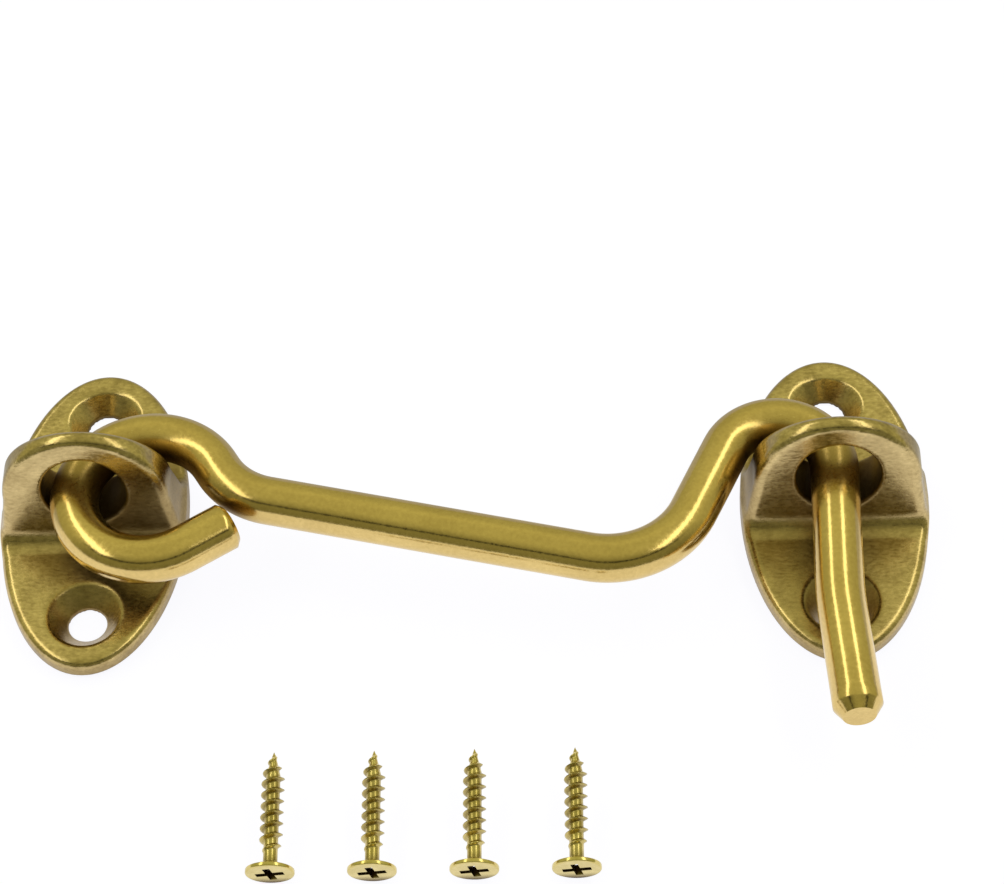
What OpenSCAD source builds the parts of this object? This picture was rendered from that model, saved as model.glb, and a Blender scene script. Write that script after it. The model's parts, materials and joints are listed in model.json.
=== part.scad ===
// Brass cabin hook: a bent rod hangs by its ring in the lug of the eye plate,
// and its long peg drops through the lug of the keeper plate.
// The latch lies on its back: plate backs at z = 0, +Z out of the mounting face,
// +X from the eye plate to the keeper plate, +Y up when it is screwed to a door.

/* [Rod] */
// Diameter of the drawn rod that the hook is bent from
rod_d = 6; // [5:0.25:7]

/* [Plates] */
// Width of each oval plate
plate_w = 23.5; // [22:0.5:28]
// Length of each oval plate
plate_l = 45; // [43:0.5:54]
// Thickness of each plate
plate_t = 3; // [2.6:0.1:3.6]
// Rounding of the upper edge of each plate
plate_edge_r = 1.1; // [0.4:0.1:1.4]
// Bevel along the back of each plate
plate_back_bevel = 0.7; // [0.3:0.1:1]
// Distance between the centres of the two plates
plate_spacing = 93.4; // [85:0.2:125]

/* [Lugs] */
// How much wider the lug's hole is than the rod
hole_play = 4.4; // [4.2:0.1:5.6]
// Height of the hole's lowest point above the plate
hole_sill = 3.1; // [2.5:0.1:4.5]
// Wall between the hole and the rounded top of the lug
lug_wall = 3.4; // [2.4:0.1:4]
// Radius of the lug's arch
lug_r = 10.4; // [9.6:0.1:10.8]
// Thickness of the lug at its top
lug_top_t = 2.4; // [2.2:0.1:3.4]
// Thickness of the lug where it meets the plate
lug_root_t = 8; // [6.5:0.1:9]
// Rounding of the lug's rim
lug_edge_r = 1.1; // [0.6:0.1:1.1]
// Fillet between the lug and the plate
lug_fillet_r = 2.2; // [1:0.1:2.6]
// How far the foot of the lug stays inside the plate's outline
lug_inset = 0.3; // [0.1:0.1:1]
// Bevel round the mouths of the lug's hole
hole_edge = 0.3; // [0.2:0.1:0.6]

/* [Screw holes] */
// Distance between the two screw holes of a plate
screw_pitch = 30; // [29:0.5:33]
// Diameter of a screw hole
screw_hole_d = 4.8; // [4:0.1:5.4]
// Diameter of the countersink at the plate's face
sink_d = 9.3; // [8.4:0.1:9.8]
// Included angle of the countersink
sink_angle = 84; // [80:1:100]

/* [Ring] */
// Room that the ring has around the limb of the eye lug
ring_slack = 2.85; // [2.6:0.05:4]
// Clearance left where the ring is pulled against the limb
ring_gap = 0.45; // [0.4:0.05:0.8]
// Direction in which the ring is pulled, from the limb's middle
ring_pull = -84; // [-90:1:-78]
// Height of the rod above the lowest point of the lug's hole
rod_lift = 0.8; // [0.7:0.1:1.6]
// Place on the ring where its open end leaves the circle
ring_tail_a = -57; // [-62:1:-46]
// Straight length of the ring's open end
ring_tail = 6.4; // [3:0.1:7]
// Angle of the rod that the ring wraps round
ring_wrap = 272; // [262:0.5:276]

/* [Arm] */
// Straight length between the ring and its back bend
ring_neck = 1.2; // [1:0.1:6]
// Radius of the back bend between the ring and the arm
back_bend_r = 10; // [8:0.5:18]
// Slope of the arm towards the keeper
arm_dip = 13.2; // [10:0.1:16]
// Radius of the bend at the foot of the crook's riser
neck_bend_r = 11.5; // [8:0.5:13]
// Slope of the crook's riser
riser_slope = 65; // [60:1:75]

/* [Crook and peg] */
// Radius of the crook over the keeper lug
crook_r = 7; // [6.7:0.1:8]
// Room between the crook and the back of the keeper lug
crook_gap = 1.5; // [0.8:0.1:3]
// Distance of the peg from the keeper's middle
peg_offset = 0.3; // [0:0.1:0.6]
// Lean of the upper peg towards the eye plate
peg_lean = 1.6; // [0:0.1:2]
// Straight length of the upper peg
peg_upper = 17; // [10:0.5:24]
// Outward bend of the peg's lower end
toe_bend = 5.5; // [0.5:0.5:7]
// Radius of that bend
toe_bend_r = 40; // [20:1:60]
// Straight length of the peg's lower end, with its bevel
toe_len = 15; // [8:0.5:20]
// How much the bevel on the peg's tip takes off the rod's radius
tip_bevel = 1; // [0.5:0.1:1.4]
// Length of that bevel
tip_bevel_l = 1.5; // [1:0.1:3]
// Bevel on the ring's open end
tail_bevel = 0.6; // [0.3:0.1:1.2]

/* [Wood screws] */
// Length of a wood screw
screw_l = 15.3; // [12:0.1:20]
// Diameter over the thread
screw_d = 2.8; // [2.6:0.1:3.2]
// Depth of the thread
thread_depth = 0.55; // [0.3:0.05:0.65]
// Pitch of the thread
thread_pitch = 1.4; // [1.1:0.05:1.6]
// Diameter of the countersunk head
screw_head_d = 5.8; // [5.4:0.1:7]
// Height of the rim of the head
screw_rim = 0.5; // [0.3:0.05:0.7]
// Height of the cone under the head
screw_cone = 0.9; // [0.6:0.1:2]
// Length of the pointed tip
screw_tip = 3; // [2:0.1:4]
// Width of a wing of the cross recess
recess_w = 0.9; // [0.6:0.1:1.1]
// Span of the cross recess at the head's face
recess_d = 4; // [3:0.1:4.4]
// Depth of the cross recess
recess_depth = 1.2; // [0.8:0.1:1.3]
// Distance between neighbouring screws as they lie in front of the latch
screw_gap_x = 11.9; // [9:0.1:12.5]
// Place of the first screw to the right of the eye plate's middle
screw_first_x = 24.7; // [10:0.1:28]
// Distance of the screw heads in front of the plates' middle line
screw_head_y = 50.9; // [48:0.1:60]

/* [Hidden] */
$fn = 96;
hull_fn = 40;
slip = 0.05;
fillet_steps = 6;
fillet_inset = 0.1;
// The straights of the rod run this far into its bends and ends, a hair thinner than those
rod_lap = 0.2;
rod_step = 0.01;
rod_end_l = 0.6;

cast_brass = [0.70, 0.56, 0.31];
drawn_brass = [0.74, 0.64, 0.28];
plated_brass = [0.86, 0.76, 0.42];

// Plate and lug, from the plate's back
plate_edge = min(plate_edge_r, plate_t / 2 - slip);
hole_r = (rod_d + hole_play) / 2;
hole_z = plate_t + hole_sill + hole_r;
lug_z = hole_z + hole_r + lug_wall - lug_r;
lug_face_z = lug_z + lug_r - lug_edge_r;
lug_draft = atan((lug_root_t - lug_top_t) / 2 / (lug_face_z - plate_t));
lug_foot_w = plate_w / 2 - lug_inset;
function lug_half_t(z) = lug_top_t / 2 + (lug_face_z - z) * tan(lug_draft);

// Limb of the eye lug that the ring goes round, at the rod's height
rod_z = hole_z - hole_r + rod_lift + rod_d / 2;
limb_in = sqrt(pow(hole_r, 2) - pow(hole_z - rod_z, 2));
limb_out = lug_r;
limb_half_w = (limb_out - limb_in) / 2;
limb_half_d = norm([limb_half_w, lug_half_t(rod_z)]) - (sqrt(2) - 1) * lug_edge_r;

// Ring of the hook
ring_r = limb_half_d + ring_slack + rod_d / 2;
ring_c = [limb_in + limb_half_w, 0] + (ring_slack - ring_gap) * heading(ring_pull);
ring_exit_a = ring_tail_a + 360 - ring_wrap;
tail_start = ring_c + ring_r * heading(ring_tail_a) + ring_tail * heading(ring_tail_a + 90);

// Crook of the hook
crook_c = [plate_spacing - peg_offset - crook_r, lug_half_t(rod_z) + crook_gap + rod_d / 2 - crook_r];

// Straight lengths of the arm and the riser that carry the rod from the ring to the crook
exit_heading = ring_exit_a - 90;
crook_start = crook_c + crook_r * heading(riser_slope + 90);
arm_start = ring_c + ring_r * heading(ring_exit_a) + ring_neck * heading(exit_heading)
    + left_turn(exit_heading, -arm_dip, back_bend_r);
span = crook_start - arm_start - left_turn(-arm_dip, riser_slope, neck_bend_r);
arm_len = cross_z(span, heading(riser_slope)) / sin(riser_slope + arm_dip);
riser_len = cross_z(heading(-arm_dip), span) / sin(riser_slope + arm_dip);

// Rod of the hook from the ring's open end to the peg's tip.
// Each step is [0, straight length] or [bend radius, angle]: a positive radius bends left.
rod_steps = [
    [0, ring_tail - tail_bevel - rod_end_l],
    [-ring_r, ring_wrap],
    [0, ring_neck],
    [back_bend_r, -arm_dip - exit_heading],
    [0, arm_len],
    [neck_bend_r, riser_slope + arm_dip],
    [0, riser_len],
    [-crook_r, riser_slope + 90 + peg_lean],
    [0, peg_upper],
    [toe_bend_r, toe_bend],
    [0, toe_len - tip_bevel_l - rod_end_l],
];

function heading(a) = [cos(a), sin(a)];
function cross_z(a, b) = a.x * b.y - a.y * b.x;
function left_turn(from, to, r) = r * [sin(to) - sin(from), cos(from) - cos(to)];

// Oval plate with a rounded upper edge and a bevelled lower one, cut flat at its back
module plate_blank() {
    r = plate_w / 2;
    spare = plate_t;
    difference() {
        scale([1, plate_l / plate_w, 1])
            rotate_extrude() {
                polygon([
                    [0, -spare],
                    [r - plate_back_bevel - spare, -spare],
                    [r, plate_back_bevel],
                    [r, plate_t - plate_edge],
                    [r - plate_edge, plate_t - plate_edge],
                    [r - plate_edge, plate_t],
                    [0, plate_t],
                ]);
                translate([r - plate_edge, plate_t - plate_edge])
                    circle(plate_edge);
            }
        translate([0, 0, -spare])
            cube([2 * plate_w, 2 * plate_l, 2 * spare], center = true);
    }
}

// Slice of the lug's foot, cut to the plate's oval
module lug_foot() {
    translate([0, 0, plate_t - slip])
        linear_extrude(slip)
            intersection() {
                scale([lug_foot_w, plate_l / 2 - lug_inset])
                    circle(1);
                square([plate_w, 2 * lug_half_t(plate_t)], center = true);
            }
}

// Rounded half disc at the top of the lug
module lug_head() {
    core_r = lug_r - lug_edge_r;
    flat_t = lug_top_t - 2 * lug_edge_r;
    translate([0, 0, lug_z])
        rotate([90, 0, 0])
            rotate_extrude(angle = 180, $fn = 2 * hull_fn) {
                translate([0, -lug_top_t / 2])
                    square([core_r, lug_top_t]);
                translate([core_r, -flat_t / 2])
                    square([lug_edge_r, flat_t]);
                for (side = [-1, 1])
                    translate([core_r, side * flat_t / 2])
                        circle(lug_edge_r, $fn = hull_fn);
            }
}

// Drafted lug with a fillet along each side of its foot
module lug_blank() {
    hull() {
        lug_head();
        lug_foot($fn = hull_fn);
    }
    lug_fillets();
}

// Profile of the fillet, as [distance from the lug's middle, height]
fillet_profile = [for (i = [0:fillet_steps])
    let (a = 90 * i / fillet_steps, z = plate_t + lug_fillet_r * (1 - cos(a)))
    [lug_half_t(z) + lug_fillet_r * (1 - sin(a)), z]];

// Both fillets, cut to the plate's oval and to the slope of the lug's ends
module lug_fillets() {
    top_z = plate_t + lug_fillet_r;
    foot_w = lug_foot_w - fillet_inset;
    top_w = foot_w - (lug_foot_w - lug_r) * lug_fillet_r / (lug_z - plate_t);
    intersection() {
        scale([foot_w, plate_l / 2 - lug_inset - fillet_inset, 1])
            cylinder(r = 1, h = top_z + slip);
        rotate([90, 0, 90])
            linear_extrude(plate_w, center = true)
                polygon(concat(
                    [[fillet_profile[0].x, plate_t / 2]],
                    fillet_profile,
                    [for (i = [fillet_steps:-1:0]) [-fillet_profile[i].x, fillet_profile[i].y]],
                    [[-fillet_profile[0].x, plate_t / 2]]
                ));
        rotate([90, 0, 0])
            linear_extrude(plate_l, center = true)
                polygon([[-foot_w, 0], [foot_w, 0], [foot_w, plate_t], [top_w, top_z + slip],
                    [-top_w, top_z + slip], [-foot_w, plate_t]]);
    }
}

// Hole through the lug, with a bevel at each mouth
module lug_hole() {
    translate([0, 0, hole_z])
        rotate([90, 0, 0])
            cylinder(r = hole_r, h = 2 * lug_root_t, center = true);
    for (side = [-1, 1])
        translate([0, side * lug_half_t(hole_z), hole_z])
            rotate([side * (lug_draft - 90), 0, 0])
                translate([0, 0, -2 * hole_edge])
                    cylinder(r1 = hole_r - hole_edge, r2 = hole_r + 2 * hole_edge, h = 3 * hole_edge);
}

// Countersunk screw hole
module screw_hole() {
    sink_h = (sink_d - screw_hole_d) / 2 / tan(sink_angle / 2);
    over = plate_t;
    rotate_extrude()
        polygon([
            [0, -over],
            [screw_hole_d / 2, -over],
            [screw_hole_d / 2, plate_t - sink_h],
            [sink_d / 2, plate_t],
            [sink_d / 2, plate_t + over],
            [0, plate_t + over],
        ]);
}

// Cast plate with its lug: the eye and the keeper are the same casting
module cast_plate() {
    difference() {
        union() {
            plate_blank();
            lug_blank();
        }
        lug_hole();
        for (side = [-1, 1])
            translate([0, side * screw_pitch / 2, 0])
                screw_hole();
    }
}

// End of the rod with a bevel, from the origin along +X
module rod_end(bevel, bevel_l) {
    rotate([0, 90, 0])
        rotate_extrude()
            polygon([
                [0, 0],
                [rod_d / 2, 0],
                [rod_d / 2, rod_end_l],
                [rod_d / 2 - bevel, rod_end_l + bevel_l],
                [0, rod_end_l + bevel_l],
            ]);
}

// Rod along the steps of a path, from the origin along +X
module bent_rod(steps, i = 0) {
    if (i < len(steps)) {
        r = steps[i][0];
        amount = steps[i][1];
        if (r == 0) {
            translate([-rod_lap, 0, 0])
                rotate([0, 90, 0])
                    cylinder(d = rod_d - 2 * rod_step, h = amount + 2 * rod_lap);
            translate([amount, 0, 0])
                bent_rod(steps, i + 1);
        } else {
            turn = r > 0 ? amount : -amount;
            translate([0, r, 0]) {
                rotate(r > 0 ? -90 : 90 - amount)
                    rotate_extrude(angle = amount)
                        translate([abs(r), 0])
                            circle(d = rod_d);
                rotate(turn)
                    translate([0, -r, 0])
                        bent_rod(steps, i + 1);
            }
        }
    } else {
        rod_end(tip_bevel, tip_bevel_l);
    }
}

module eye_plate() {
    color(cast_brass)
        cast_plate();
}

module keeper_plate() {
    color(cast_brass)
        translate([plate_spacing, 0, 0])
            cast_plate();
}

module hook() {
    color(drawn_brass)
        translate([tail_start.x, tail_start.y, rod_z])
            rotate(ring_tail_a - 90)
                translate([tail_bevel + rod_end_l, 0, 0]) {
                    mirror([1, 0, 0])
                        rod_end(tail_bevel, tail_bevel);
                    bent_rod(rod_steps);
                }
}

// Cross recess in the face of a screw head
module cross_recess() {
    intersection() {
        translate([0, 0, -recess_depth])
            cylinder(d1 = recess_w, d2 = recess_d, h = recess_depth);
        union() {
            for (a = [0, 90])
                rotate(a)
                    cube([recess_d, recess_w, 2 * recess_depth], center = true);
        }
    }
}

// Wood screw with its head's face at z = 0 and its tip down
module screw_blank() {
    crest_r = screw_d / 2;
    root_r = crest_r - thread_depth;
    neck_z = -screw_rim - screw_cone;
    turns = floor((neck_z + screw_l - screw_tip) / thread_pitch);
    rotate_extrude()
        polygon(concat(
            [[0, 0], [screw_head_d / 2, 0], [screw_head_d / 2, -screw_rim], [root_r, neck_z]],
            [for (i = [1:turns], edge = [-0.2, 0, 0.2])
                [edge == 0 ? crest_r : root_r, neck_z - (i + edge - 0.5) * thread_pitch]],
            [[root_r, screw_tip - screw_l], [0, -screw_l]]
        ));
}

// Wood screw lying on its head's rim and its last thread, head towards -Y
module wood_screw(i) {
    head_r = screw_head_d / 2;
    reach = screw_l - screw_rim - screw_tip;
    tilt = atan((head_r - screw_d / 2) / reach);
    color(plated_brass)
        translate([screw_first_x + (i - 1) * screw_gap_x, -screw_head_y, head_r * cos(tilt)])
            rotate([90 + tilt, 0, 0])
                translate([0, 0, screw_rim])
                    difference() {
                        screw_blank();
                        cross_recess();
                    }
}

eye_plate();
hook();
keeper_plate();
for (i = [1:4])
    wood_screw(i);
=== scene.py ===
import json
from math import atan2, ceil, cos, pi, radians, sin, tan

import bpy
from mathutils import Matrix, Vector


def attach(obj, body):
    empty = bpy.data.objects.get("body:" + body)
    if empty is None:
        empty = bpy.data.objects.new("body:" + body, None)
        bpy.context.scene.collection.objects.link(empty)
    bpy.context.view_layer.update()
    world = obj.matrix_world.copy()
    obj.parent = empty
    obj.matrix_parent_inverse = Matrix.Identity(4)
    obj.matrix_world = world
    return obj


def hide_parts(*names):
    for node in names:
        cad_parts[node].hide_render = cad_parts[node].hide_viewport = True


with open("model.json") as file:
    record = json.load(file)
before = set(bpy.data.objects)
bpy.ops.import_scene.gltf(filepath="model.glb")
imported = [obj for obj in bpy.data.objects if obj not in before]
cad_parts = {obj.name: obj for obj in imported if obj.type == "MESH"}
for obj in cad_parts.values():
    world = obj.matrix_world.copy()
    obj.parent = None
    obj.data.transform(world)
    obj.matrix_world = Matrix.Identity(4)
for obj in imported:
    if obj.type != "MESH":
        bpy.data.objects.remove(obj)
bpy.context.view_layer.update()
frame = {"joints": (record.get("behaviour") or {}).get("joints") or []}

# Sizes of the latch in the frame of the solids: millimetres, degrees and shares of another size
MM = 0.001
ROD_D = 6.0
PLATE_W = 23.5
PLATE_L = 45.0
PLATE_T = 3.0
PLATE_EDGE = 1.1
PLATE_BACK_BEVEL = 0.7
PLATE_BACK_ANGLE = 45.0
PLATE_SPACING = 93.4
LUG_R = 10.4
LUG_Z = 9.5
LUG_TOP_T = 2.4
LUG_ROOT_T = 8.0
LUG_EDGE = 1.1
LUG_FILLET = 2.2
LUG_FOOT_INSET = 0.3
LUG_FOOT_W = PLATE_W / 2 - LUG_FOOT_INSET
HOLE_R = 5.2
HOLE_Z = 11.3
HOLE_EDGE = 0.45
SCREW_PITCH = 30.0
SCREW_HOLE_R = 2.4
SINK_R = 4.65
SINK_ANGLE = 84.0
SINK_EDGE = 0.3

RING_R = 9.265
RING_TAIL_A = -57.0
RING_TAIL = 6.4
RING_WRAP = 272.0
RING_NECK = 1.2
BACK_BEND_R = 10.0
ARM_DIP = 13.2
NECK_BEND_R = 11.5
RISER_SLOPE = 65.0
CROOK_R = 7.0
CROOK_MIDDLE = Vector((86.1, 0.277))
PEG_LEAN = 1.6
PEG_UPPER = 17.0
TOE_BEND = 5.5
TOE_BEND_R = 40.0
TOE_LEN = 15.0
TIP_BEVEL = 1.0
TIP_BEVEL_L = 1.5
TAIL_BEVEL = 0.6

SCREW_L = 15.3
SCREW_CREST_R = 1.4
SCREW_CORE_R = 0.85
SCREW_THREAD_PITCH = 1.4
SCREW_HEAD_R = 2.9
SCREW_RIM = 0.5
SCREW_CONE = 0.9
SCREW_RIM_ROUND = 0.18
SCREW_TIP = 3.0
RECESS_W = 0.9
RECESS_D = 4.0
RECESS_DEPTH = 1.2
SCREW_COUNT = 4
SCREW_GAP_X = 11.9
SCREW_FIRST_X = 24.7
SCREW_HEAD_Y = 50.9
THREAD_HALF_WIDTH = 0.24
TIP_CURVE = 0.8
TIP_SHARE = 0.03
RECESS_TAPER = 0.3
RECESS_TURN = 11.0
SCREW_NECK = 1.1

HINGE = next(j for j in frame["joints"] if j["name"] == "hook_lift")
RING_MIDDLE = Vector(HINGE["pos_m"][:2]) / MM
ROD_Z = HINGE["pos_m"][2] / MM

# Fineness of the meshes, in millimetres, degrees, or faces round and along a piece
CAST_GRID = 0.2
CAST_MARGIN = 1.0
SKIN_LEVEL = 0.5
LEAST_STEEPNESS = 1e-4
ROD_SIDES = 72
BEND_STEP = 3.0
STRAIGHT_STEP = 1.5
BEVEL_STEPS = 6
END_SPACE = 0.2
QUAD_CORNERS = 4
SCREW_SIDES = 48
SCREW_ROWS = 300

# Camera of the photograph: degrees, millimetres and pixels of the picture
VIEW_ELEVATION = 53.66
VIEW_AZIMUTH = 2.98
VIEW_ROLL = -3.56
VIEW_DISTANCE = 380.0
VIEW_TARGET = Vector((51.51, 11.81, 0.7))
PIXELS_PER_MM = 7.741
PICTURE_W = 1004
SENSOR_W = 36.0
CLIP_START = 0.01

# Noise of the brass finishes, the ranges of it that count, and how rough sheltered places stay
PATCH_DETAIL = 3.0
GRAIN_DETAIL = 2.0
SHELTER_SAMPLES = 8
PATCH_RANGE = (0.32, 0.68)
GRAIN_RANGE = (0.3, 0.7)
RELIEF_HEIGHT = 0.0001
SHELTER_ROUGHNESS = 0.3

# Sockets of a Mix node that mixes colours
MIX_SHARE = 0
MIX_FIRST = 6
MIX_SECOND = 7
MIX_RESULT = 2

# White table: its size in metres, its finish, how much of it glows, how bright it is to the eye,
# and how bright the metal mirrors it in front of the latch and behind it
FLOOR_HALF = 3.0
FLOOR_DROP = 0.00005
FLOOR_WHITE = (0.9, 0.9, 0.9, 1.0)
FLOOR_ROUGHNESS = 0.9
FLOOR_GLOW = 0.82
GLOW_TINT = (1.0, 1.0, 1.05, 1.0)
GLOW_LEVEL = 1.12
FRONT_SHEEN = 1.02
BACK_SHEEN = 0.42
SHEEN_EDGE = (-0.004, 0.014)

# Room: its tint, and its brightness against the sine of the height above the table, all round
# and in front, where the front begins at the middle and is full at the second value along Y
ROOM_TINT = (1.0, 1.0, 0.48)
ROOM_LEVELS = [(0.0, 0.41), (0.5, 0.46), (0.8, 0.56), (1.0, 0.48)]
FRONT_LEVELS = [(0.0, 0.18), (0.54, 0.26), (0.57, 0.0), (0.62, 0.0), (0.66, 0.25), (0.9, 0.44), (1.0, 0.5)]
FRONT_TURN = (0.0, -0.4)

# Strip lamps to the left and right of the latch, in metres and watts
LEFT_STRIP = (-0.285, 0.07, 0.43)
RIGHT_STRIP = (0.345, 0.07, 0.47)
STRIP_L = 0.75
STRIP_W = 0.11
STRIP_POWER = 0.44
STRIP_TINT = (1.0, 0.98, 0.82)


class Reading:
    """A value in a node tree. Arithmetic on it adds Math nodes to the tree."""

    def __init__(self, tree, socket):
        self.tree = tree
        self.socket = socket

    def math(self, operation, *others):
        node = self.tree.nodes.new("ShaderNodeMath")
        node.operation = operation
        for value, socket in zip((self, *others), node.inputs):
            feed(self.tree, value, socket)
        return Reading(self.tree, node.outputs[0])

    def __add__(self, other):
        return self.math("ADD", other)

    def __sub__(self, other):
        return self.math("SUBTRACT", other)

    def __mul__(self, other):
        return self.math("MULTIPLY", other)

    def __truediv__(self, other):
        return self.math("DIVIDE", other)

    def __neg__(self):
        return self.math("MULTIPLY", -1.0)

    def __abs__(self):
        return self.math("ABSOLUTE")


def feed(tree, value, socket):
    """Links a reading or a socket, or sets a plain value."""
    if isinstance(value, Reading):
        tree.links.new(value.socket, socket)
    elif isinstance(value, bpy.types.NodeSocket):
        tree.links.new(value, socket)
    else:
        socket.default_value = value


def larger(a, b):
    return a.math("MAXIMUM", b)


def smaller(a, b):
    return a.math("MINIMUM", b)


def length_of(a, b):
    return (a * a + b * b).math("SQRT")


def within_both(a, b, round_r):
    """Distance to the common part of two shapes, with its edge rounded."""
    over_a = larger(a + round_r, 0.0)
    over_b = larger(b + round_r, 0.0)
    inner = smaller(larger(a, b) + round_r, 0.0)
    return length_of(over_a, over_b) + inner - round_r


def joined(a, b, fillet_r):
    """Distance to two shapes joined by a round fillet."""
    near_a = larger(-a + fillet_r, 0.0)
    near_b = larger(-b + fillet_r, 0.0)
    return larger(smaller(a, b), fillet_r) - length_of(near_a, near_b)


def add_node(tree, kind, inputs=None, **settings):
    node = tree.nodes.new(kind)
    for name, value in settings.items():
        setattr(node, name, value)
    for name, value in (inputs or {}).items():
        feed(tree, value, node.inputs[name])
    return node


def new_tree(name, sizes):
    """A geometry tree with named inputs. Returns it, a function that reads an input, and its entry."""
    tree = bpy.data.node_groups.new(name, "GeometryNodeTree")
    tree.interface.new_socket("Geometry", in_out="INPUT", socket_type="NodeSocketGeometry")
    for label, value in sizes.items():
        socket = tree.interface.new_socket(label, in_out="INPUT", socket_type="NodeSocketFloat")
        socket.default_value = value
    tree.interface.new_socket("Finish", in_out="INPUT", socket_type="NodeSocketMaterial")
    tree.interface.new_socket("Geometry", in_out="OUTPUT", socket_type="NodeSocketGeometry")
    entry = tree.nodes.new("NodeGroupInput")

    def size(label):
        return Reading(tree, entry.outputs[label])

    return tree, size, entry


def end_tree(tree, entry, geometry, flat=None):
    """Shades the result smooth, apart from its flat faces, and gives it its finish."""
    smooth = add_node(tree, "GeometryNodeSetShadeSmooth", {"Geometry": geometry})
    shaded = smooth.outputs[0]
    if flat is not None:
        flatten = add_node(tree, "GeometryNodeSetShadeSmooth", {
            "Geometry": shaded, "Selection": flat, "Shade Smooth": False})
        shaded = flatten.outputs[0]
    real = add_node(tree, "GeometryNodeRealizeInstances", {"Geometry": shaded})
    finish = add_node(tree, "GeometryNodeSetMaterial", {
        "Geometry": real.outputs[0], "Material": entry.outputs["Finish"]})
    leave = tree.nodes.new("NodeGroupOutput")
    tree.links.new(finish.outputs[0], leave.inputs[0])


def many_sided(tree):
    """Selects the flat end faces, which have more than four corners."""
    neighbours = tree.nodes.new("GeometryNodeInputMeshFaceNeighbors")
    corners = Reading(tree, neighbours.outputs["Vertex Count"])
    return corners.math("GREATER_THAN", QUAD_CORNERS)


def place_of(tree):
    """The place of a point as three readings."""
    position = tree.nodes.new("GeometryNodeInputPosition")
    split = add_node(tree, "ShaderNodeSeparateXYZ", {0: position.outputs[0]})
    return [Reading(tree, socket) for socket in split.outputs]


def run_tree(name, tree, start_mesh, values):
    """Runs a tree on a start mesh and keeps the result as a plain mesh object."""
    worker = bpy.data.objects.new(name + "_start", start_mesh)
    bpy.context.scene.collection.objects.link(worker)
    modifier = worker.modifiers.new(tree.name, "NODES")
    modifier.node_group = tree
    for item in tree.interface.items_tree:
        if item.in_out == "INPUT" and item.name in values:
            modifier[item.identifier] = values[item.name]
    graph = bpy.context.evaluated_depsgraph_get()
    mesh = bpy.data.meshes.new_from_object(worker.evaluated_get(graph))
    mesh.name = name
    bpy.data.objects.remove(worker)
    piece = bpy.data.objects.new(name, mesh)
    bpy.context.scene.collection.objects.link(piece)
    return piece


# Shapes


def cast_plate_tree():
    """One casting: oval plate, drafted lug with fillets, lug hole and two countersunk holes."""
    tree, size, entry = new_tree("cast_plate", {
        "Plate Width": PLATE_W, "Plate Length": PLATE_L, "Plate Thickness": PLATE_T,
        "Plate Edge": PLATE_EDGE, "Back Bevel": PLATE_BACK_BEVEL, "Lug Radius": LUG_R, "Lug Height": LUG_Z,
        "Lug Foot": LUG_FOOT_W, "Lug Top": LUG_TOP_T, "Lug Root": LUG_ROOT_T,
        "Lug Edge": LUG_EDGE, "Fillet": LUG_FILLET, "Hole Radius": HOLE_R,
        "Hole Height": HOLE_Z, "Hole Edge": HOLE_EDGE, "Screw Pitch": SCREW_PITCH,
        "Screw Hole": SCREW_HOLE_R, "Sink Radius": SINK_R, "Sink Edge": SINK_EDGE,
        "Middle": 0.0,
    })
    x, y, z = place_of(tree)
    top = size("Plate Thickness")

    # Oval plate with a rounded upper edge
    half_w = size("Plate Width") / 2.0
    half_l = size("Plate Length") / 2.0
    reach = length_of(x / half_w, y / half_l)
    steepness = length_of(x / (half_w * half_w), y / (half_l * half_l))
    outline = reach * (reach - 1.0) / larger(steepness, LEAST_STEEPNESS)
    plate = within_both(outline, z - top, size("Plate Edge"))

    # Drafted lug with a round arch, and the fillets at its foot
    lug_z = size("Lug Height")
    lug_r = size("Lug Radius")
    flare = (size("Lug Foot") - lug_r) / (lug_z - top)
    arch = length_of(x, larger(z - lug_z, 0.0)) - lug_r - larger(lug_z - z, 0.0) * flare
    face_z = lug_z + lug_r - size("Lug Edge")
    draft = (size("Lug Root") - size("Lug Top")) / 2.0 / (face_z - top)
    half_t = size("Lug Top") / 2.0 + (face_z - z) * draft
    lug = within_both(arch, abs(y) - half_t, size("Lug Edge"))
    body = larger(joined(plate, lug, size("Fillet")), outline)

    # Hole through the lug
    hole = length_of(x, z - size("Hole Height")) - size("Hole Radius")
    body = within_both(body, -hole, size("Hole Edge"))

    # Countersunk screw holes
    slope = tan(radians(SINK_ANGLE / 2))
    from_axis = length_of(x, abs(y) - size("Screw Pitch") / 2.0)
    cone_r = size("Sink Radius") + smaller(z - top, 0.0) * slope
    cone = (from_axis - cone_r) * cos(radians(SINK_ANGLE / 2))
    sink = smaller(from_axis - size("Screw Hole"), cone)
    body = within_both(body, -sink, size("Sink Edge"))

    # Flat back with a bevel
    back_bevel = (outline - z + size("Back Bevel")) * cos(radians(PLATE_BACK_ANGLE))
    body = larger(larger(body, -z), back_bevel)

    # Skin of the casting, from millimetres to metres
    low = (-PLATE_W / 2 - CAST_MARGIN, -PLATE_L / 2 - CAST_MARGIN, -CAST_MARGIN)
    high = (PLATE_W / 2 + CAST_MARGIN, PLATE_L / 2 + CAST_MARGIN, LUG_Z + LUG_R + CAST_MARGIN)
    steps = [ceil((b - a) / CAST_GRID) for a, b in zip(low, high)]
    cube = add_node(tree, "GeometryNodeVolumeCube", {
        "Density": -(body * SKIN_LEVEL) + SKIN_LEVEL, "Min": low, "Max": high,
        "Resolution X": steps[0], "Resolution Y": steps[1], "Resolution Z": steps[2]})
    skin = add_node(tree, "GeometryNodeVolumeToMesh", {
        "Volume": cube.outputs[0], "Threshold": SKIN_LEVEL})
    middle = add_node(tree, "ShaderNodeCombineXYZ", {"X": size("Middle") * MM})
    real_size = add_node(tree, "GeometryNodeTransform", {
        "Geometry": skin.outputs[0], "Translation": middle.outputs[0], "Scale": (MM, MM, MM)})
    end_tree(tree, entry, real_size.outputs[0])
    return tree


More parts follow.
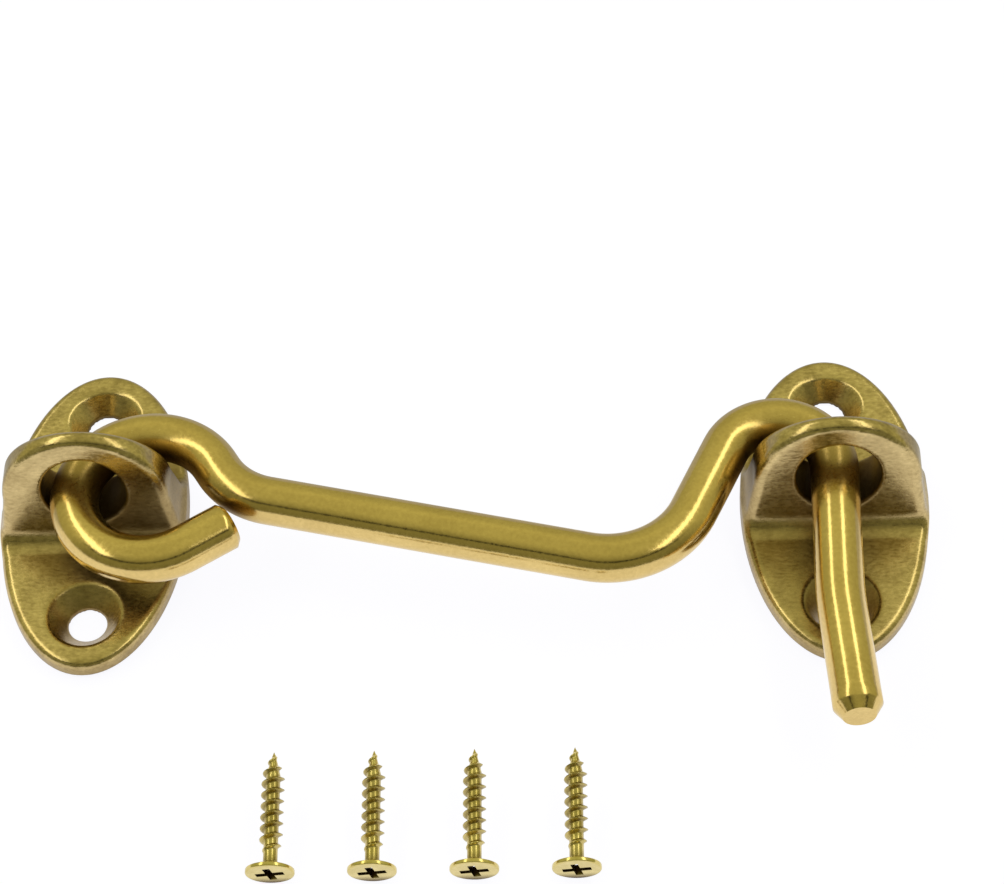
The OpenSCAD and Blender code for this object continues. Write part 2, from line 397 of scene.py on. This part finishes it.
def swept_rod_tree():
    """Round rod along a line of points, each with its own share of the full radius."""
    tree, size, entry = new_tree("swept_rod", {"Rod Radius": ROD_D / 2, "Sides": ROD_SIDES})
    line = add_node(tree, "GeometryNodeMeshToCurve", {"Mesh": entry.outputs["Geometry"]})
    ring = add_node(tree, "GeometryNodeCurvePrimitiveCircle", {
        "Resolution": size("Sides"), "Radius": size("Rod Radius") * MM})
    girth = add_node(tree, "GeometryNodeInputNamedAttribute", {"Name": "girth"})
    rod = add_node(tree, "GeometryNodeCurveToMesh", {
        "Curve": line.outputs[0], "Profile Curve": ring.outputs[0],
        "Scale": girth.outputs["Attribute"], "Fill Caps": True})
    end_tree(tree, entry, rod.outputs[0], many_sided(tree))
    return tree


def heading(angle):
    return Vector((cos(radians(angle)), sin(radians(angle))))


def left_turn(start, end, radius):
    return radius * Vector((sin(radians(end)) - sin(radians(start)),
                            cos(radians(start)) - cos(radians(end))))


def rod_steps():
    """Start, heading and steps of the rod, each [0, length] or [bend radius, angle]."""
    exit_a = RING_TAIL_A + 360 - RING_WRAP
    exit_heading = exit_a - 90
    start = (RING_MIDDLE + RING_R * heading(RING_TAIL_A)
             + RING_TAIL * heading(RING_TAIL_A + 90))
    arm_start = (RING_MIDDLE + RING_R * heading(exit_a) + RING_NECK * heading(exit_heading)
                 + left_turn(exit_heading, -ARM_DIP, BACK_BEND_R))
    crook_start = CROOK_MIDDLE + CROOK_R * heading(RISER_SLOPE + 90)
    span = crook_start - arm_start - left_turn(-ARM_DIP, RISER_SLOPE, NECK_BEND_R)
    spread = sin(radians(RISER_SLOPE + ARM_DIP))
    arm_len = span.cross(heading(RISER_SLOPE)) / spread
    riser_len = heading(-ARM_DIP).cross(span) / spread
    return start, RING_TAIL_A - 90, [
        (0, RING_TAIL),
        (-RING_R, RING_WRAP),
        (0, RING_NECK),
        (BACK_BEND_R, -ARM_DIP - exit_heading),
        (0, arm_len),
        (NECK_BEND_R, RISER_SLOPE + ARM_DIP),
        (0, riser_len),
        (-CROOK_R, RISER_SLOPE + 90 + PEG_LEAN),
        (0, PEG_UPPER),
        (TOE_BEND_R, TOE_BEND),
        (0, TOE_LEN),
    ]


def rod_line():
    """Points along the middle of the rod, from the ring's open end to the peg's tip."""
    point, angle, steps = rod_steps()
    points = [point.copy()]
    for radius, amount in steps:
        if radius == 0:
            count = ceil(amount / STRAIGHT_STEP)
            points += [point + heading(angle) * amount * i / count for i in range(1, count + 1)]
        else:
            turn = amount if radius > 0 else -amount
            count = ceil(amount / BEND_STEP)
            points += [point + left_turn(angle, angle + turn * i / count, radius)
                       for i in range(1, count + 1)]
            angle += turn
        point = points[-1]
    return points


def bevelled_end(points, bevel, bevel_l):
    """Points and girths for a bevelled end in place of the line's last points."""
    end = points[-1]
    back = (points[-2] - end).normalized()
    kept = [p for p in points if (p - end).length > bevel_l + END_SPACE]
    shares = [i / BEVEL_STEPS for i in range(BEVEL_STEPS + 1)]
    places = [end + back * bevel_l * (1 - share) for share in shares]
    girths = [1 - share * bevel / (ROD_D / 2) for share in shares]
    return kept, places, girths


def hook_line_mesh():
    points, tip, tip_girths = bevelled_end(rod_line(), TIP_BEVEL, TIP_BEVEL_L)
    points, tail, tail_girths = bevelled_end(points[::-1], TAIL_BEVEL, TAIL_BEVEL)
    line = tip[::-1] + points + tail
    girths = tip_girths[::-1] + [1.0] * len(points) + tail_girths
    mesh = bpy.data.meshes.new("hook_line")
    mesh.from_pydata([Vector((p.x, p.y, ROD_Z)) * MM for p in line],
                     [(i, i + 1) for i in range(len(line) - 1)], [])
    mesh.attributes.new("girth", "FLOAT", "POINT").data.foreach_set("value", girths)
    return mesh


def wood_screws_tree():
    """A row of lying wood screws, each with a helical thread and a cross recess."""
    tree, size, entry = new_tree("wood_screws", {
        "Length": SCREW_L, "Crest Radius": SCREW_CREST_R, "Core Radius": SCREW_CORE_R,
        "Thread Pitch": SCREW_THREAD_PITCH, "Head Radius": SCREW_HEAD_R, "Rim": SCREW_RIM,
        "Cone": SCREW_CONE, "Tip": SCREW_TIP, "Recess Width": RECESS_W, "Recess Span": RECESS_D,
        "Recess Depth": RECESS_DEPTH, "Neck": SCREW_NECK,
    })
    blank = add_node(tree, "GeometryNodeMeshCylinder", {
        "Vertices": SCREW_SIDES, "Side Segments": SCREW_ROWS, "Radius": 1.0, "Depth": size("Length")})
    x, y, z = place_of(tree)

    # Radius of head, shank and thread for each depth and angle
    depth = size("Length") / 2.0 - z
    angle = y.math("ARCTAN2", x)
    core_r = size("Core Radius")
    below_rim = depth - size("Rim")
    cone_slope = (size("Head Radius") - core_r) / size("Cone")
    cone = size("Head Radius") - larger(below_rim, 0.0) * cone_slope
    rounding = larger(-depth + SCREW_RIM_ROUND, 0.0)
    rim_fall = -((-(rounding * rounding) + SCREW_RIM_ROUND ** 2).math("SQRT")) + SCREW_RIM_ROUND
    head = cone - rim_fall
    shank_start = size("Rim") + size("Cone") + size("Neck")
    fade = smaller(larger((depth - shank_start) / size("Thread Pitch"), 0.0), 1.0)
    turn = (depth / size("Thread Pitch") + angle / (2 * pi)).math("FRACT")
    ridge = larger(-(abs(turn - 0.5) / THREAD_HALF_WIDTH) + 1.0, 0.0)
    taper = smaller((size("Length") - depth) / size("Tip"), 1.0).math("POWER", TIP_CURVE)
    shank = (core_r + (size("Crest Radius") - core_r) * ridge * fade) * larger(taper, TIP_SHARE)
    radius = larger(head, shank)
    place = add_node(tree, "ShaderNodeCombineXYZ", {
        "X": angle.math("COSINE") * radius, "Y": angle.math("SINE") * radius, "Z": -depth})
    turned = add_node(tree, "GeometryNodeSetPosition", {
        "Geometry": blank.outputs["Mesh"], "Position": place.outputs[0]})

    # Cross recess, cut by one tapered bar in two turns
    bar_size = add_node(tree, "ShaderNodeCombineXYZ", {
        "X": size("Recess Span"), "Y": size("Recess Width"), "Z": size("Recess Depth") * 2.0})
    bar = add_node(tree, "GeometryNodeMeshCube", {"Size": bar_size.outputs[0]})
    bar_x, bar_y, bar_z = place_of(tree)
    narrow = smaller((bar_z / size("Recess Depth")) * RECESS_TAPER + 1.0, 1.0)
    bar_place = add_node(tree, "ShaderNodeCombineXYZ", {"X": bar_x * narrow, "Y": bar_y, "Z": bar_z})
    tapered = add_node(tree, "GeometryNodeSetPosition", {
        "Geometry": bar.outputs["Mesh"], "Position": bar_place.outputs[0]})
    cut = add_node(tree, "GeometryNodeMeshBoolean", operation="DIFFERENCE", solver="EXACT")
    tree.links.new(turned.outputs[0], cut.inputs["Mesh 1"])
    for bar_turn in (RECESS_TURN, RECESS_TURN + 90):
        cutter = add_node(tree, "GeometryNodeTransform", {
            "Geometry": tapered.outputs[0], "Rotation": (0.0, 0.0, radians(bar_turn))})
        tree.links.new(cutter.outputs[0], cut.inputs["Mesh 2"])

    # Row of screws, each lying on its head's rim and its last thread
    tilt = atan2(SCREW_HEAD_R - SCREW_CREST_R, SCREW_L - SCREW_RIM - SCREW_TIP)
    first = Vector((SCREW_FIRST_X, -SCREW_HEAD_Y, SCREW_HEAD_R * cos(tilt))) * MM
    row = add_node(tree, "GeometryNodeMeshLine", {
        "Count": SCREW_COUNT, "Start Location": first,
        "Offset": (SCREW_GAP_X * MM, 0.0, 0.0)}, mode="OFFSET")
    raised = add_node(tree, "GeometryNodeTransform", {
        "Geometry": cut.outputs["Mesh"], "Translation": (0.0, 0.0, SCREW_RIM)})
    screws = add_node(tree, "GeometryNodeInstanceOnPoints", {
        "Points": row.outputs["Mesh"], "Instance": raised.outputs[0],
        "Rotation": (pi / 2 + tilt, 0.0, 0.0), "Scale": (MM, MM, MM)})
    end_tree(tree, entry, screws.outputs[0], many_sided(tree))
    return tree


# Finishes


def grain_group():
    """Cast or drawn grain, soft patches and how open a place lies to the room, which sets the painted
    shade.
    """
    group = bpy.data.node_groups.new("metal_grain", "ShaderNodeTree")
    for label in ("Patch Scale", "Grain Scale", "Shelter", "Stretch X", "Stretch Y", "Stretch Z"):
        group.interface.new_socket(label, in_out="INPUT", socket_type="NodeSocketFloat")
    for label in ("Patches", "Grain", "Openness"):
        group.interface.new_socket(label, in_out="OUTPUT", socket_type="NodeSocketFloat")
    entry = group.nodes.new("NodeGroupInput")
    leave = group.nodes.new("NodeGroupOutput")
    place = group.nodes.new("ShaderNodeTexCoord")
    stretch = add_node(group, "ShaderNodeCombineXYZ", {
        "X": entry.outputs["Stretch X"], "Y": entry.outputs["Stretch Y"], "Z": entry.outputs["Stretch Z"]})
    stretched = add_node(group, "ShaderNodeVectorMath", {
        0: place.outputs["Object"], 1: stretch.outputs[0]}, operation="MULTIPLY")
    for label, place_in, scale, detail in (
        ("Patches", place.outputs["Object"], "Patch Scale", PATCH_DETAIL),
        ("Grain", stretched.outputs[0], "Grain Scale", GRAIN_DETAIL),
    ):
        noise = add_node(group, "ShaderNodeTexNoise", {
            "Vector": place_in, "Scale": entry.outputs[scale], "Detail": detail})
        group.links.new(noise.outputs["Fac"], leave.inputs[label])
    open_to = add_node(group, "ShaderNodeAmbientOcclusion", {
        "Distance": entry.outputs["Shelter"]}, samples=SHELTER_SAMPLES)
    group.links.new(open_to.outputs["AO"], leave.inputs["Openness"])
    return group


def map_range(tree, value, old, new):
    """A value moved from one range to another."""
    node = add_node(tree, "ShaderNodeMapRange", {
        "Value": value, "From Min": old[0], "From Max": old[1], "To Min": new[0], "To Max": new[1]})
    return node.outputs[0]


def mix_colours(tree, share, first, second):
    """The first colour, turned into the second as its share grows."""
    node = add_node(tree, "ShaderNodeMix", {
        MIX_SHARE: share, MIX_FIRST: first, MIX_SECOND: second}, data_type="RGBA")
    return node.outputs[MIX_RESULT]


def brass(name, grain, light, dark, streaks, recess, shelter, open_range, roughness, bump, stretch,
          grain_scale, patch_scale):
    """A brass finish: two tones in patches and streaks, painted shade in recesses, grain in gloss and
    relief.
    """
    material = bpy.data.materials.new(name)
    material.use_nodes = True
    tree = material.node_tree
    shader = tree.nodes["Principled BSDF"]
    shader.inputs["Metallic"].default_value = 1.0
    texture = add_node(tree, "ShaderNodeGroup", node_tree=grain)
    values = {"Patch Scale": patch_scale, "Grain Scale": grain_scale, "Shelter": shelter,
              "Stretch X": stretch[0], "Stretch Y": stretch[1], "Stretch Z": stretch[2]}
    for label, value in values.items():
        texture.inputs[label].default_value = value
    patches = Reading(tree, texture.outputs["Patches"])
    mottle = patches * (1.0 - streaks) + Reading(tree, texture.outputs["Grain"]) * streaks
    lightness = map_range(tree, mottle, PATCH_RANGE, (0.0, 1.0))
    tone = mix_colours(tree, lightness, (*dark, 1.0), (*light, 1.0))
    openness = map_range(tree, texture.outputs["Openness"], open_range, (0.0, 1.0))
    # The recess colour is painted shade, mixed in where ambient occlusion finds the place sheltered by
    # nearby surfaces.
    colour = mix_colours(tree, openness, (*recess, 1.0), tone)
    tree.links.new(colour, shader.inputs["Base Color"])
    gloss = Reading(tree, map_range(tree, texture.outputs["Grain"], GRAIN_RANGE, roughness))
    unpolished = (-Reading(tree, openness) + 1.0) * SHELTER_ROUGHNESS
    feed(tree, gloss + unpolished, shader.inputs["Roughness"])
    relief = add_node(tree, "ShaderNodeBump", {
        "Height": texture.outputs["Grain"], "Strength": bump, "Distance": RELIEF_HEIGHT})
    tree.links.new(relief.outputs[0], shader.inputs["Normal"])
    return material


# Stage


def look_from(elevation, azimuth, roll):
    """Right, up and back directions of a camera."""
    e, a, r = radians(elevation), radians(azimuth), radians(roll)
    back = Vector((sin(a) * cos(e), -cos(a) * cos(e), sin(e)))
    right = Vector((0.0, 0.0, 1.0)).cross(back).normalized()
    up = back.cross(right)
    return cos(r) * right + sin(r) * up, -sin(r) * right + cos(r) * up, back


def add_camera():
    right, up, back = look_from(VIEW_ELEVATION, VIEW_AZIMUTH, VIEW_ROLL)
    data = bpy.data.cameras.new("photo_camera")
    data.sensor_width = SENSOR_W
    data.lens = PIXELS_PER_MM * VIEW_DISTANCE * SENSOR_W / PICTURE_W
    data.clip_start = CLIP_START
    camera = bpy.data.objects.new("photo_camera", data)
    turn = Matrix((right, up, back)).transposed().to_4x4()
    camera.matrix_world = Matrix.Translation((VIEW_TARGET + back * VIEW_DISTANCE) * MM) @ turn
    bpy.context.scene.collection.objects.link(camera)
    bpy.context.scene.camera = camera


def add_floor():
    """A white table that glows to the eye and in the metal, and still takes a shadow."""
    mesh = bpy.data.meshes.new("floor")
    corners = [(-FLOOR_HALF, -FLOOR_HALF), (FLOOR_HALF, -FLOOR_HALF),
               (FLOOR_HALF, FLOOR_HALF), (-FLOOR_HALF, FLOOR_HALF)]
    mesh.from_pydata([(x, y, -FLOOR_DROP) for x, y in corners], [], [(0, 1, 2, 3)])
    floor = bpy.data.objects.new("floor", mesh)
    bpy.context.scene.collection.objects.link(floor)
    material = bpy.data.materials.new("white_table")
    material.use_nodes = True
    tree = material.node_tree
    shader = tree.nodes["Principled BSDF"]
    shader.inputs["Base Color"].default_value = FLOOR_WHITE
    shader.inputs["Roughness"].default_value = FLOOR_ROUGHNESS
    path = tree.nodes.new("ShaderNodeLightPath")
    mirrored = Reading(tree, path.outputs["Is Glossy Ray"])
    seen = larger(mirrored, Reading(tree, path.outputs["Is Camera Ray"]))
    spot = tree.nodes.new("ShaderNodeNewGeometry")
    split = add_node(tree, "ShaderNodeSeparateXYZ", {0: spot.outputs["Position"]})
    sheen = Reading(tree, map_range(tree, split.outputs["Y"], SHEEN_EDGE, (FRONT_SHEEN, BACK_SHEEN)))
    glow = add_node(tree, "ShaderNodeEmission", {
        "Color": GLOW_TINT, "Strength": mirrored * (sheen - GLOW_LEVEL) + GLOW_LEVEL})
    blend = add_node(tree, "ShaderNodeMixShader", {
        0: seen * FLOOR_GLOW, 1: shader.outputs[0], 2: glow.outputs[0]})
    tree.links.new(blend.outputs[0], tree.nodes["Material Output"].inputs["Surface"])
    mesh.materials.append(material)


def add_strip(name, place):
    """A long narrow lamp beside the latch that faces it."""
    data = bpy.data.lights.new(name, "AREA")
    data.shape = "RECTANGLE"
    data.size = STRIP_L
    data.size_y = STRIP_W
    data.energy = STRIP_POWER
    data.color = STRIP_TINT
    lamp = bpy.data.objects.new(name, data)
    facing = (Vector(place) - VIEW_TARGET * MM).to_track_quat("Z", "Y")
    lamp.matrix_world = Matrix.Translation(place) @ facing.to_matrix().to_4x4()
    bpy.context.scene.collection.objects.link(lamp)


def room_ramp(tree, height, stops):
    """The room's tint, as bright as the stops say for a height."""
    ramp = tree.nodes.new("ShaderNodeValToRGB")
    tree.links.new(height, ramp.inputs[0])
    elements = ramp.color_ramp.elements
    elements.remove(elements[1])
    for place, level in stops:
        element = elements.new(place) if place > 0 else elements[0]
        element.color = (*(level * share for share in ROOM_TINT), 1.0)
    return ramp.outputs[0]


def add_lights():
    add_strip("left_strip", LEFT_STRIP)
    add_strip("right_strip", RIGHT_STRIP)
    world = bpy.data.worlds.new("studio")
    bpy.context.scene.world = world
    world.use_nodes = True
    tree = world.node_tree
    place = tree.nodes.new("ShaderNodeTexCoord")
    split = add_node(tree, "ShaderNodeSeparateXYZ", {0: place.outputs["Generated"]})
    room = room_ramp(tree, split.outputs["Z"], ROOM_LEVELS)
    front = room_ramp(tree, split.outputs["Z"], FRONT_LEVELS)
    front_share = map_range(tree, split.outputs["Y"], FRONT_TURN, (0.0, 1.0))
    colour = mix_colours(tree, front_share, room, front)
    tree.links.new(colour, tree.nodes["Background"].inputs["Color"])


# The latch

bpy.context.scene.view_settings.view_transform = "Standard"
add_camera()
add_floor()
add_lights()

grain = grain_group()
# The recess colour of each finish is painted shade in its hollows and where parts lie close together.
cast_brass = brass(
    "cast_brass", grain, light=(0.80, 0.62, 0.295), dark=(0.44, 0.325, 0.14), streaks=0.5,
    recess=(0.12, 0.06, 0.012), shelter=0.012, open_range=(0.06, 0.88), roughness=(0.18, 0.27), bump=0.2,
    stretch=(0.55, 1.0, 1.0), grain_scale=2600.0, patch_scale=380.0)
drawn_brass = brass(
    "drawn_brass", grain, light=(0.86, 0.64, 0.25), dark=(0.70, 0.51, 0.19), streaks=0.5,
    recess=(0.15, 0.075, 0.012), shelter=0.010, open_range=(0.2, 0.9), roughness=(0.14, 0.21), bump=0.1,
    stretch=(1.0, 1.0, 1.0), grain_scale=2000.0, patch_scale=120.0)
plated_brass = brass(
    "plated_brass", grain, light=(0.86, 0.71, 0.30), dark=(0.66, 0.53, 0.17), streaks=0.4,
    recess=(0.08, 0.04, 0.006), shelter=0.002, open_range=(0.55, 1.0), roughness=(0.13, 0.2), bump=0.05,
    stretch=(1.0, 1.0, 1.0), grain_scale=2500.0, patch_scale=500.0)

casting = cast_plate_tree()
eye_plate = run_tree("cast_eye_plate", casting, bpy.data.meshes.new("eye_plate_start"),
                     {"Middle": 0.0, "Finish": cast_brass})
keeper_plate = run_tree("cast_keeper_plate", casting, bpy.data.meshes.new("keeper_plate_start"),
                        {"Middle": PLATE_SPACING, "Finish": cast_brass})
hook = run_tree("bent_hook", swept_rod_tree(), hook_line_mesh(), {"Finish": drawn_brass})
screws = run_tree("loose_wood_screws", wood_screws_tree(), bpy.data.meshes.new("screws_start"),
                  {"Finish": plated_brass})

for piece, body, slot, nodes in (
    (eye_plate, "eye", "cast_brass", ["eye_plate"]),
    (keeper_plate, "keeper", "cast_brass", ["keeper_plate"]),
    (hook, "hook", "drawn_brass", ["hook"]),
    (screws, "eye", "plated_brass", [f"wood_screw_{i + 1}" for i in range(SCREW_COUNT)]),
):
    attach(piece, body)
    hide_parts(*nodes)
